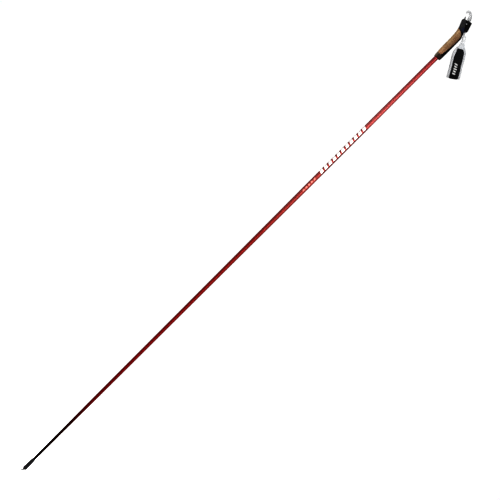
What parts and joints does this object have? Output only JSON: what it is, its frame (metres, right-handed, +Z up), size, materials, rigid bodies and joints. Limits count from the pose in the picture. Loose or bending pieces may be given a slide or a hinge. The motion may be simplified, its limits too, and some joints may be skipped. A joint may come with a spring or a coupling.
{
  "type": "ski pole",
  "caption": "Nordic ski pole: tapered composite shaft, cork grip with a forward-leaning head, padded hand loop clamped by a wedge, and a slim ferrule with an angled carbide spike.",
  "frame": {"origin": "on the shaft's axis, at the level of the spike's point, which is the lowest point of the pole", "axes": "+Z up the shaft to the grip; +X to the skier's side, where the hand loop hangs; -X is the front, the way the head leans; Y across"},
  "size_m": [0.1196, 0.0269, 1.7817],
  "materials": {
    "shaft": "clear-lacquered composite tube, black at the foot fading to red",
    "foam_plug": "closed-cell foam",
    "adhesive": "hot-melt adhesive",
    "black_plastic": "moulded, fine satin texture",
    "carbide": "ground tungsten carbide",
    "core_plastic": "moulded, dark blue-grey satin",
    "cork": "fine-grain pressed cork, sanded",
    "collar_rubber": "soft moulded ring",
    "steel_pin": "plated",
    "wedge_plastic": "moulded, satin",
    "webbing": "woven polyester tape, light grey",
    "band": "ribbed woven band, light grey",
    "lining": "brushed knit lining",
    "binding": "folded binding tape",
    "pad": "black padded fabric with an embossed grain",
    "patch": "woven patch with plain light bars"
  },
  "bodies": {
    "pole": {"shaft_tube": "shaft", "shaft_foot_plug": "foam_plug", "shaft_top_plug": "foam_plug", "ferrule_adhesive": "adhesive", "tip_ferrule": "black_plastic", "tip_spike": "carbide", "grip_adhesive": "adhesive", "grip_core": "core_plastic", "cork_shell": "cork", "end_collar": "collar_rubber", "strap_housing": "black_plastic", "wedge_pin": "steel_pin", "webbing_front_clamped": "webbing", "webbing_rear_clamped": "webbing"},
    "wedge": {"strap_wedge": "wedge_plastic"},
    "strap_link": {"webbing_front_link": "webbing", "webbing_rear_link": "webbing"},
    "hand_loop": {"band_outer": "band", "band_lining": "lining", "binding_front_edge": "binding", "binding_rear_edge": "binding", "palm_pad": "pad", "woven_patch": "patch"},
    "strap_tail": {"webbing_front_tail": "webbing", "webbing_rear_tail": "webbing"}
  },
  "joints": [
    {"name": "wedge_release", "type": "slide", "parent": "pole", "child": "wedge", "axis": [-0.3746, 0, 0.9272], "range_m": [0, 0.005]},
    {"name": "strap_swing", "type": "hinge", "parent": "pole", "child": "strap_link", "pos_m": [0.00823, 0, 1.72705], "axis": [0, -1, 0], "range_deg": [-5, 90]},
    {"name": "strap_flop", "type": "hinge", "parent": "strap_link", "child": "hand_loop", "pos_m": [0.02249, 0, 1.70536], "axis": [0.8695, 0, 0.494], "range_deg": [-70, 70]},
    {"name": "tail_flex", "type": "hinge", "parent": "pole", "child": "strap_tail", "pos_m": [-0.00477, 0, 1.75923], "axis": [0, 1, 0], "range_deg": [0, 60]}
  ]
}
